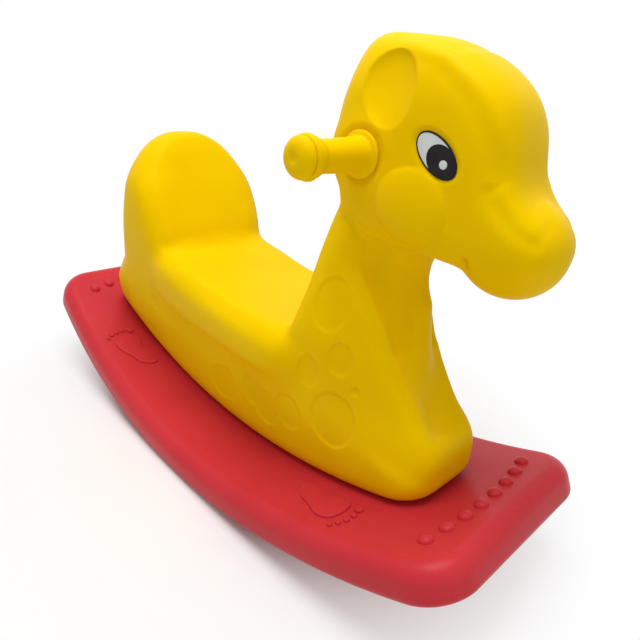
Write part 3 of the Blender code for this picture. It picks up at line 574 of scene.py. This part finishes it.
def loft(bm, ribs, place):
    """A closed skin over ribs; each rib's first number says where it stands."""
    rings = []
    for at, rear, front, half, corner, narrowing in smooth_between(ribs, RIB_STEPS):
        outline = rib_outline(rear, front, half, corner, narrowing)
        rings.append([bm.verts.new(place(at, along, across)) for along, across in outline])
    count = len(rings[0])
    for lower, upper in zip(rings, rings[1:]):
        for i in range(count):
            j = (i + 1) % count
            bm.faces.new((lower[i], lower[j], upper[j], upper[i]))
    for ring in (rings[0], rings[-1]):
        for i in range(count // 2 - 1):
            j = count - 1 - i
            bm.faces.new((ring[i], ring[i + 1], ring[j - 1], ring[j]))


def add_ellipsoid(bm, centre, half_sizes):
    place = Matrix.Translation(centre) @ Matrix.Diagonal((*half_sizes, 1.0))
    bmesh.ops.create_uvsphere(bm, u_segments=64, v_segments=40, radius=1.0, matrix=place)


def press_groove(body):
    """Pushes the chest's front back into a V, down to the shelf over the foot."""
    points = get_points(body)
    levels, valleys, slopes = np.array(smooth_between(GROOVE_RIBS, GROOVE_STEPS)).T
    x, y, z = points.T
    wall = np.interp(z, levels, valleys) + np.interp(z, levels, slopes) * np.abs(y)
    pressed = (z > levels[0]) & (z < levels[-1]) & (x > wall)
    points[pressed, 0] = wall[pressed]
    set_points(body, points)


def body_main_form():
    """Hull, neck, chest, head, backrest and seat as one smooth skin."""
    bm = bmesh.new()
    loft(bm, HULL_RIBS, hull_point)
    for ribs in (NECK_RIBS, CHEST_RIBS, HEAD_RIBS, BACKREST_RIBS):
        loft(bm, ribs, level_point)
    loft(bm, SEAT_RIBS, station_point)
    x, z, half_length, half_width, half_height = NOSE
    add_ellipsoid(bm, (x, 0, z), (half_length, half_width, half_height))
    x, z, radius = NUB
    add_ellipsoid(bm, (x, 0, z), (radius, radius, radius))
    spread, thickness = ROOT_SWELLING
    for side in (-1, 1):
        add_ellipsoid(bm, (HANDLE_X, side * ROOT_SIDE, HANDLE_Z), (spread, thickness, spread))
    body = from_bmesh("body_skin", bm)
    remesh(body, MAIN_VOXEL)
    press_groove(body)
    remesh(body, MAIN_VOXEL)
    relax(body, MAIN_ROUNDS)
    for line, width, rounds in (
        (SEAT_CREASE, SEAT_CREASE_WIDTH, SEAT_CREASE_ROUNDS),
        (BACK_CREASE, BACK_CREASE_WIDTH, BACK_CREASE_ROUNDS),
    ):
        gap, _ = distance_to_line(side_points(body), line)
        relax(body, rounds, 0.5 * np.exp(-((gap / width) ** 2)))
    return body


def side_points(body):
    """The body's points with both sides laid onto one."""
    points = get_points(body)
    points[:, 1] = np.abs(points[:, 1])
    return points


def distance_to_line(points, line):
    """Distance of each point to a smooth line, and its share of the way along it."""
    knots = np.array(smooth_between(line, STROKE_STEPS))
    nearest = np.full(len(points), np.inf)
    share = np.zeros(len(points))
    for i, (start, end) in enumerate(zip(knots, knots[1:])):
        run = end - start
        t = np.clip((points - start) @ run / (run @ run), 0.0, 1.0)
        gap = np.linalg.norm(points - start - t[:, None] * run, axis=1)
        closer = gap < nearest
        nearest[closer] = gap[closer]
        share[closer] = (i + t[closer]) / (len(knots) - 1)
    return nearest, share


def stroke_rise(points):
    """Height of the soft ridges, below 0 in the valleys."""
    total = np.zeros(len(points))
    for width, height, line in STROKES:
        low = np.min(line, axis=0) - 3 * width
        high = np.max(line, axis=0) + 3 * width
        near = np.all((points > low) & (points < high), axis=1)
        gap, share = distance_to_line(points[near], line)
        ends = step(np.minimum(share, 1 - share) / STROKE_FADE)
        total[near] += height * ends * np.exp(-((gap / width) ** 2))
    return total


def oval_radius(points, x, z, half_length, half_height):
    """How far out each point lies in an oval drawn on the side, 1 on the oval itself."""
    return np.hypot((points[:, 0] - x) / half_length, (points[:, 2] - z) / half_height)


def spot_rise(points):
    """Height of the spots, all below 0."""
    depth = np.zeros(len(points))
    for spot in SPOTS:
        past_edge = (oval_radius(points, *spot) - 1) * min(spot[2:])
        inside = 1 - step(past_edge / SPOT_EDGE + 0.5)
        depth = np.maximum(depth, inside)
    return -SPOT_DEPTH * depth * (points[:, 1] > SPOT_LIMIT)


def cheek_rise(points):
    """Height of the cheek, a low dome on the side of the head."""
    dome = np.clip(1 - oval_radius(points, *CHEEK) ** 2, 0.0, 1.0) ** CHEEK_FULLNESS
    return CHEEK_RISE * dome * (points[:, 1] > SIDE_LIMIT)


def ear_depth(points):
    """Depth of the ear dish, an egg lying tilted on the side of the head."""
    x, z, half_length, half_height = EAR
    across = (points[:, 0] - x) * math.cos(EAR_TILT) + (points[:, 2] - z) * math.sin(EAR_TILT)
    along = (points[:, 2] - z) * math.cos(EAR_TILT) - (points[:, 0] - x) * math.sin(EAR_TILT)
    along = along / half_height
    across = across / (half_length * (1 + EAR_EGG * along))
    bowl = np.clip(1 - across ** 2 - along ** 2, 0.0, 1.0)
    dish = bowl ** EAR_FULLNESS * (1 + EAR_DEEPER * along)
    return EAR_DEPTH * dish * (points[:, 1] > SIDE_LIMIT)


def flatten_eye_seat(points):
    """Lays the points under the eye's label onto its plane; works on one side."""
    plane = np.array(eye_place(1, EYE_SEAT - GAP))
    local = (points - plane[:3, 3]) @ plane[:3, :3]
    half_length = EYE_LENGTH / 2 + EYE_MARGIN
    half_width = EYE_WIDTH / 2 + EYE_MARGIN
    r = np.hypot(local[:, 0] / half_length, local[:, 1] / half_width)
    past_edge = (r - 1) * half_width
    near = (past_edge < EYE_BLEND) & (points[:, 1] > SIDE_LIMIT)
    blend = step(past_edge[near] / EYE_BLEND + 0.5)
    local[near, 2] *= blend
    points[near] = local[near] @ plane[:3, :3].T + plane[:3, 3]


def head_bore():
    """Tool for the bore through the head and the round pockets at its ends."""
    bm = bmesh.new()
    for radius, low, high in (
        (HEAD_BORE, -HEAD_REACH, HEAD_REACH),
        (FLANGE_POCKET, FLANGE_SEAT - GAP, HEAD_REACH),
        (FLANGE_POCKET, -HEAD_REACH, GAP - FLANGE_SEAT),
    ):
        bmesh.ops.create_cone(
            bm,
            cap_ends=True,
            segments=BORE_STEPS,
            radius1=radius,
            radius2=radius,
            depth=high - low,
            matrix=along_y(HANDLE_X, (low + high) / 2, HANDLE_Z, 1),
        )
    return from_bmesh("head_bore", bm)


def add_body_details(body):
    """Cuts the bore, then moves the skin out and in on both sides alike."""
    boolean(body, head_bore())
    remesh(body, FINE_VOXEL)
    relax(body, FINE_ROUNDS)
    points = get_points(body)
    side = np.sign(points[:, 1])[:, None] * (0, 1, 0) + (1, 0, 1)
    turned_in = points * side
    rise = stroke_rise(turned_in) + spot_rise(turned_in) + cheek_rise(turned_in)
    moved = turned_in + get_normals(body) * side * rise[:, None]
    moved[:, 1] -= ear_depth(turned_in)
    flatten_eye_seat(moved)
    set_points(body, moved * side)


def seat_on_deck(body):
    """Flattens what hangs below the deck onto it."""
    points = get_points(body)
    across = np.hypot(points[:, 0], points[:, 2] - BEND_HEIGHT)
    limit = DECK_RADIUS - GAP
    low = across > limit
    scale = limit / across[low]
    points[low, 0] *= scale
    points[low, 2] = BEND_HEIGHT + (points[low, 2] - BEND_HEIGHT) * scale
    set_points(body, points)


body = body_main_form()
add_body_details(body)
seat_on_deck(body)


# The rocker


def bent(x, y, z):
    """A point of the flat slab, moved to its place on the arc."""
    angle = x / DECK_RADIUS
    radius = SOLE_RADIUS - z
    return Vector((radius * math.sin(angle), y, BEND_HEIGHT - radius * math.cos(angle)))


def bent_place(x, y, z):
    return Matrix.Translation(bent(x, y, z)) @ Matrix.Rotation(-x / DECK_RADIUS, 4, "Y")


def flat_x(x):
    """Place along the flat slab that the arc brings to x."""
    return DECK_RADIUS * math.asin(x / DECK_RADIUS)


def bend(part, stations, bulge):
    """Cuts a flat part at its stations, swells its sides and lays it on the arc."""
    for x in stations:
        everything = part.verts[:] + part.edges[:] + part.faces[:]
        bmesh.ops.bisect_plane(part, geom=everything, plane_co=(x, 0, 0), plane_no=(1, 0, 0))
    for v in part.verts:
        x, y, z = v.co
        v.co = bent(x, y * (1 + bulge * (1 - (x / HALF_DECK) ** 2) * 2 / ROCKER_END_WIDTH), z)


def prism(outline, low, high):
    """A closed part with this outline, from the level low to the level high."""
    part = bmesh.new()
    face = part.faces.new([part.verts.new((x, y, low)) for x, y in outline])
    raised = bmesh.ops.extrude_face_region(part, geom=[face])
    top = [v for v in raised["geom"] if isinstance(v, bmesh.types.BMVert)]
    bmesh.ops.translate(part, verts=top, vec=(0, 0, high - low))
    bmesh.ops.recalc_face_normals(part, faces=part.faces)
    return part


def round_rim(part, level, width, segments):
    """Rounds the edges that lie at the level."""
    rim = [e for e in part.edges if all(math.isclose(v.co.z, level, abs_tol=SAME) for v in e.verts)]
    bmesh.ops.bevel(
        part,
        geom=rim,
        offset=width,
        offset_type="OFFSET",
        segments=segments,
        profile=0.5,
        affect="EDGES",
    )


def rocker_outline(steps):
    """A rectangle with rounded corners."""
    half_width = ROCKER_END_WIDTH / 2
    quarter = []
    for i in range(steps + 1):
        angle = math.pi / 2 * i / steps
        x = HALF_DECK - CORNER_RADIUS + CORNER_RADIUS * math.cos(angle)
        quarter.append((x, half_width - CORNER_RADIUS + CORNER_RADIUS * math.sin(angle)))
    points = list(quarter)
    points += [(-x, y) for x, y in reversed(quarter)]
    points += [(-x, -y) for x, y in quarter]
    points += [(x, -y) for x, y in reversed(quarter)]
    return points


def footprint(x, side, toward):
    """Sole and toes of one raised footprint, each a low prism with a rounded rim."""
    low = ROCKER_THICKNESS - MARK_SINK
    high = ROCKER_THICKNESS + FOOTPRINT_HEIGHT

    def place(along, across):
        """A point of the foot, given as shares of its length, on the flat slab."""
        y = FOOTPRINT_Y + (FOOTPRINT_LEAN * (along - FOOTPRINT_PIVOT) - across) * FOOTPRINT_LENGTH
        return (x + toward * along * FOOTPRINT_LENGTH, side * y)

    outlines = [[place(*point) for point in smooth_between(FOOTPRINT_SOLE, 6, closed=True)]]
    for along, across, radius in FOOTPRINT_TOES:
        toe = [(along + radius * c, across + radius * s) for c, s in circle(TOE_STEPS)]
        outlines.append([place(*point) for point in toe])
    stations = [x + FOOTPRINT_CUT * i for i in range(-FOOTPRINT_CUTS, FOOTPRINT_CUTS + 1)]
    for outline in outlines:
        part = prism(outline, low, high)
        round_rim(part, high, FOOTPRINT_RIM, segments=3)
        bend(part, stations, 0.0)
        yield part


def rocker_slab():
    """The plain slab with its rounded edges, bent, but flat under the middle of the sole."""
    part = prism(rocker_outline(steps=16), 0.0, ROCKER_THICKNESS)
    round_rim(part, 0.0, SOLE_EDGE, segments=6)
    round_rim(part, ROCKER_THICKNESS, DECK_EDGE, segments=10)
    facets = int(HALF_DECK / SOLE_FACET)
    half = [SOLE_FACET * (i + 0.5) for i in range(facets)]
    fine = [x + SOLE_FACET * k / SOLE_FACET_CUTS for x in half for k in range(SOLE_FACET_CUTS)]
    stations = {round(side * x, 5) for x in fine for side in (-1, 1) if x < HALF_DECK}
    bend(part, sorted(stations), ROCKER_SIDE_BULGE)
    return from_bmesh("rocker_skin", part)


def deck_marks():
    """Four footprints and two rows of dots."""
    marks = bmesh.new()
    for toward, x in zip((1, -1), FOOTPRINT_X):
        for side in (-1, 1):
            for piece in footprint(x, side, toward):
                mesh = bpy.data.meshes.new("mark")
                piece.to_mesh(mesh)
                piece.free()
                marks.from_mesh(mesh)
                bpy.data.meshes.remove(mesh)
    for end in (-1, 1):
        for i in range(DOT_COUNT):
            y = (i - (DOT_COUNT - 1) / 2) * DOT_SPACING
            x = end * (HALF_DECK - DOT_ROW_INSET - DOT_ROW_CURVE * y * y)
            place = bent_place(x, y, ROCKER_THICKNESS)
            sizes = Matrix.Diagonal((DOT_RADIUS, DOT_RADIUS, DOT_HEIGHT, 1.0))
            bmesh.ops.create_uvsphere(
                marks, u_segments=24, v_segments=16, radius=1.0, matrix=place @ sizes
            )
    return from_bmesh("marks", marks)


def sole_cuts():
    """Tool for the wells of the screws and the vents."""
    cuts = bmesh.new()
    reach = ROCKER_THICKNESS * 2
    holes = [(flat_x(x), WELL_DIAMETER, ROCKER_THICKNESS - BOLT_SEAT) for x in BOLT_X]
    holes += [(flat_x(x), VENT_DIAMETER, VENT_DEPTH) for x in VENT_X]
    for x, diameter, high in holes:
        bmesh.ops.create_cone(
            cuts,
            cap_ends=True,
            segments=HOLE_STEPS,
            radius1=diameter / 2,
            radius2=diameter / 2,
            depth=high + reach,
            matrix=bent_place(x, 0, (high - reach) / 2),
        )
    return from_bmesh("cuts", cuts)


def make_rocker():
    rocker = rocker_slab()
    boolean(rocker, deck_marks(), "UNION")
    boolean(rocker, sole_cuts())
    return rocker


rocker = make_rocker()


# The handlebar


def turned(name, profile, closed, place):
    """A piece turned from its profile of radii and heights, then laid in place."""
    mesh = bpy.data.meshes.new(name)
    edges = [(i, i + 1) for i in range(len(profile) - 1)]
    if closed:
        edges.append((len(profile) - 1, 0))
    mesh.from_pydata([(r, 0.0, h) for r, h in profile], edges, [])
    made = link(name, mesh)
    screw = made.modifiers.new("Screw", "SCREW")
    screw.steps = TURNED_STEPS
    screw.render_steps = TURNED_STEPS
    screw.use_merge_vertices = True
    screw.merge_threshold = MERGE
    apply_modifiers(made)
    made.data.transform(place)
    return made


def grip_profile():
    """The grip's section, once round: radius and distance from the flange's seat."""
    bore = TUBE_DIAMETER / 2 + GAP
    profile = [(bore, SLEEVE), (GRIP_FACE, SLEEVE)]
    profile += [(radius, SLEEVE - back) for radius, back in smooth_between(GRIP_RIM, 3)]
    (thin, high), (thick, low) = profile[-1], GRIP_FLANGE[0]
    for i in range(1, GRIP_STEPS):
        t = i / GRIP_STEPS
        profile.append((thin + (thick - thin) * t, high + (low - high) * t))
    return profile + list(GRIP_FLANGE) + [(bore, 0.0)]


def make_handlebar():
    """Grips and end caps of both sides."""
    made = []
    for side, word in ((1, "left"), (-1, "right")):
        seat = along_y(HANDLE_X, FLANGE_SEAT, HANDLE_Z, side)
        foot = along_y(HANDLE_X, HANDLE_SPAN / 2 - CAP_HEIGHT, HANDLE_Z, side)
        grip = turned("grip_skin_" + word, grip_profile(), True, seat)
        cap = turned("cap_skin_" + word, CAP_PROFILE, False, foot)
        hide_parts("grip_" + word)
        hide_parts("end_cap_" + word)
        for piece in (grip, cap):
            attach(piece, "handlebar")
            made.append(piece)
    return made


handlebar = make_handlebar()


# The eyes


def oval_disc(name, shift, half_length, half_width, low, high, place):
    """A thin oval with a rounded rim, centred at a point of the eye's own plane."""
    outline = [(shift + half_length * c, half_width * s) for c, s in circle(TURNED_STEPS)]
    part = prism(outline, low, high)
    round_rim(part, high, (high - low) * DISC_RIM, segments=3)
    made = from_bmesh(name, part)
    made.data.transform(place)
    return made


def make_eyes():
    """Both labels, their layers sorted by colour."""
    made = {"white": [], "black": []}
    for side, word in ((1, "left"), (-1, "right")):
        place = eye_place(side, EYE_SEAT)
        for layer, shift, half_length, half_width, low, high, colour in EYE_LAYERS:
            name = f"eye_{layer}_{word}"
            piece = oval_disc(name, shift, half_length, half_width, low, high, place)
            if layer == "outline":
                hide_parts("eye_" + word)
            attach(piece, "rocking_body")
            made[colour].append(piece)
    return made


eyes = make_eyes()

for piece, node, slot in (
    (body, "giraffe_body", "yellow_plastic"),
    (rocker, "rocker_base", "red_plastic"),
):
    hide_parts(node)
    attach(piece, "rocking_body")


# Materials


class Nodes:
    """A material's node tree, with short calls to add and join nodes."""

    def __init__(self, name):
        self.material = bpy.data.materials.new(name)
        self.material.use_nodes = True
        self.tree = self.material.node_tree
        self.shader = self.tree.nodes["Principled BSDF"]
        self.place = self.add("TexCoord").outputs["Object"]

    def add(self, kind, **values):
        node = self.tree.nodes.new("ShaderNode" + kind)
        for key, value in values.items():
            if hasattr(node, key):
                setattr(node, key, value)
            else:
                node.inputs[key.replace("_", " ")].default_value = value
        return node

    def join(self, source, target):
        self.tree.links.new(source, target)

    def noise(self, scale, detail=2.0, rough=0.5):
        node = self.add("TexNoise", Scale=scale, Detail=detail, Roughness=rough)
        self.join(self.place, node.inputs["Vector"])
        return node.outputs["Fac"]

    def spread(self, value, low, high, to_low=0.0, to_high=1.0):
        node = self.add("MapRange", From_Min=low, From_Max=high, To_Min=to_low, To_Max=to_high)
        self.join(value, node.inputs["Value"])
        return node.outputs["Result"]

    def mix(self, amount, first, second):
        node = self.add("Mix", data_type="RGBA")
        self.join(amount, node.inputs["Factor"])
        # The node's sockets for colours; the ones before them are for numbers and vectors
        for key, colour in ((6, first), (7, second)):
            if isinstance(colour, tuple):
                node.inputs[key].default_value = (*colour, 1.0)
            else:
                self.join(colour, node.inputs[key])
        return node.outputs[2]

    def bump(self, height, distance, strength, before=None):
        node = self.add("Bump", Distance=distance, Strength=strength)
        self.join(height, node.inputs["Height"])
        if before:
            self.join(before, node.inputs["Normal"])
        return node.outputs["Normal"]


def plastic(name, main, deep, pale, roughness, gloss, gloss_tint):
    """Moulded polyethylene: uneven tint, fine orange peel and faint handling marks."""
    n = Nodes(name)
    cloudy = n.spread(n.noise(CLOUD_SCALE, detail=3.0, rough=0.55), 0.35, 0.70)
    flecks = n.spread(n.noise(FLECK_SCALE, detail=4.0, rough=0.6), 0.58, 0.80, to_high=0.35)
    colour = n.mix(flecks, n.mix(cloudy, main, deep), pale)
    n.join(colour, n.shader.inputs["Base Color"])
    worn = n.spread(n.noise(WEAR_SCALE, detail=5.0, rough=0.6), 0.3, 0.75, *roughness)
    n.join(worn, n.shader.inputs["Roughness"])
    waves = n.bump(n.noise(WAVE_SCALE), WAVE_HEIGHT, strength=0.5)
    peel = n.bump(n.noise(PEEL_SCALE, rough=0.6), PEEL_HEIGHT, strength=0.6, before=waves)
    n.join(peel, n.shader.inputs["Normal"])
    n.shader.inputs["Specular IOR Level"].default_value = gloss
    n.shader.inputs["Specular Tint"].default_value = (*gloss_tint, 1.0)
    return n.material


def metal(name, colour, dark, roughness):
    """Plain metal with faint stains and an uneven gloss."""
    n = Nodes(name)
    tint = n.mix(n.spread(n.noise(STAIN_SCALE, detail=3.0), 0.35, 0.7), colour, dark)
    n.join(tint, n.shader.inputs["Base Color"])
    worn = n.spread(n.noise(SCRATCH_SCALE, detail=3.0), 0.3, 0.7, roughness, roughness + 0.15)
    n.join(worn, n.shader.inputs["Roughness"])
    n.shader.inputs["Metallic"].default_value = 1.0
    return n.material


def label(name, main, other, roughness, gloss):
    """Printed film, nearly even in tint and gloss."""
    n = Nodes(name)
    tint = n.mix(n.spread(n.noise(INK_SCALE, detail=3.0), 0.4, 0.75), main, other)
    n.join(tint, n.shader.inputs["Base Color"])
    worn = n.spread(n.noise(FILM_SCALE), 0.3, 0.7, roughness, roughness + 0.08)
    n.join(worn, n.shader.inputs["Roughness"])
    n.shader.inputs["Specular IOR Level"].default_value = gloss
    return n.material


def dress(obj, material, angle=None):
    """Gives the piece its material; edges steeper than the angle stay sharp."""
    obj.data.materials.clear()
    obj.data.materials.append(material)
    obj.data.shade_smooth()
    if angle is not None:
        obj.data.set_sharp_from_angle(angle=math.radians(angle))


yellow = plastic(
    "yellow_polyethylene",
    main=(0.86, 0.555, 0.0),
    deep=(0.82, 0.515, 0.0),
    pale=(0.88, 0.59, 0.0),
    roughness=(0.38, 0.50),
    gloss=0.06,
    gloss_tint=(1.0, 0.82, 0.05),
)
red = plastic(
    "red_polyethylene",
    main=(0.57, 0.030, 0.040),
    deep=(0.52, 0.024, 0.033),
    pale=(0.61, 0.045, 0.056),
    roughness=(0.34, 0.46),
    gloss=0.18,
    gloss_tint=(1.0, 0.8, 0.8),
)
steel = metal("steel", (0.62, 0.62, 0.64), (0.45, 0.45, 0.47), 0.28)
brass = metal("brass", (0.78, 0.57, 0.25), (0.60, 0.42, 0.17), 0.30)
eye_white = label("eye_white", (0.62, 0.66, 0.66), (0.56, 0.60, 0.61), 0.28, 0.3)
eye_black = label("eye_black", (0.010, 0.008, 0.010), (0.018, 0.016, 0.020), 0.34, 0.15)

dress(body, yellow)
dress(rocker, red, 35)
for piece in handlebar:
    dress(piece, yellow, 40)
for piece in eyes["white"]:
    dress(piece, eye_white, 40)
for piece in eyes["black"]:
    dress(piece, eye_black, 40)
for name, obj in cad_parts.items():
    if name.startswith(("bolt", "washer", "handle_tube")):
        dress(obj, steel, 35)
    elif name.startswith("insert"):
        dress(obj, brass, 35)


# Camera, floor and light


def make_camera():
    data = bpy.data.cameras.new("camera")
    camera = bpy.data.objects.new("camera", data)
    bpy.context.scene.collection.objects.link(camera)
    turn = Euler([math.radians(angle) for angle in CAMERA_TURNS]).to_matrix()
    camera.matrix_world = Matrix.Translation(CAMERA_PLACE) @ turn.to_4x4()
    data.sensor_width = CAMERA_SENSOR
    data.lens = CAMERA_LENS
    data.shift_x, data.shift_y = CAMERA_SHIFT
    bpy.context.scene.camera = camera


def seen_by_eye(tree):
    """1 for rays that show a surface to the camera, straight or through gloss or glass."""
    rays = tree.nodes.new("ShaderNodeLightPath")
    total = rays.outputs["Is Camera Ray"]
    for kind in ("Is Glossy Ray", "Is Transmission Ray"):
        both = tree.nodes.new("ShaderNodeMath")
        both.operation = "MAXIMUM"
        tree.links.new(total, both.inputs[0])
        tree.links.new(rays.outputs[kind], both.inputs[1])
        total = both.outputs[0]
    return total


def make_floor():
    """A pale floor that keeps the shadow near the toy and fades to white further out."""
    bm = bmesh.new()
    bmesh.ops.create_grid(bm, x_segments=4, y_segments=4, size=FLOOR_REACH)
    floor = from_bmesh("floor", bm)
    n = Nodes("floor")
    n.shader.inputs["Roughness"].default_value = 0.9
    n.shader.inputs["Specular IOR Level"].default_value = 0.0
    tint = n.mix(n.spread(n.noise(FLOOR_SCALE), 0.3, 0.7), FLOOR_TINT, FLOOR_PALE)
    n.join(tint, n.shader.inputs["Base Color"])
    away = n.add("VectorMath", operation="LENGTH")
    n.join(n.place, away.inputs[0])
    fade = n.spread(away.outputs["Value"], *FLOOR_FADE)
    share = n.add("Math", operation="MULTIPLY")
    n.join(fade, share.inputs[0])
    n.join(seen_by_eye(n.tree), share.inputs[1])
    white = n.add("Emission", Strength=1.0)
    shown = n.add("MixShader")
    n.join(share.outputs[0], shown.inputs[0])
    n.join(n.shader.outputs[0], shown.inputs[1])
    n.join(white.outputs[0], shown.inputs[2])
    n.join(shown.outputs[0], n.tree.nodes["Material Output"].inputs["Surface"])
    floor.data.materials.append(n.material)


def make_light(name, place, size, power):
    """A round soft light that faces the toy."""
    data = bpy.data.lights.new(name, "AREA")
    data.shape = "DISK"
    data.size = size
    data.energy = power
    lamp = bpy.data.objects.new(name, data)
    bpy.context.scene.collection.objects.link(lamp)
    lamp.location = place
    lamp.rotation_euler = (Vector(LIGHT_TARGET) - Vector(place)).to_track_quat("-Z", "Y").to_euler()


def make_world():
    """White where the camera sees it, a softer light everywhere else."""
    world = bpy.data.worlds.new("studio")
    bpy.context.scene.world = world
    world.use_nodes = True
    tree = world.node_tree
    tree.nodes.clear()
    out = tree.nodes.new("ShaderNodeOutputWorld")
    seen = tree.nodes.new("ShaderNodeBackground")
    seen.inputs["Color"].default_value = (1, 1, 1, 1)
    seen.inputs["Strength"].default_value = 1.0
    fill = tree.nodes.new("ShaderNodeBackground")
    fill.inputs["Color"].default_value = (1, 1, 1, 1)
    fill.inputs["Strength"].default_value = WORLD_FILL
    mix = tree.nodes.new("ShaderNodeMixShader")
    tree.links.new(seen_by_eye(tree), mix.inputs["Fac"])
    tree.links.new(fill.outputs[0], mix.inputs[1])
    tree.links.new(seen.outputs[0], mix.inputs[2])
    tree.links.new(mix.outputs[0], out.inputs["Surface"])


make_camera()
make_floor()
make_world()
make_light("key", place=(-0.04, -0.24, 1.88), size=1.2, power=25.6)
make_light("fill", place=(1.6, -0.5, 0.8), size=1.6, power=2.6)

scene = bpy.context.scene
scene.view_settings.view_transform = "Standard"
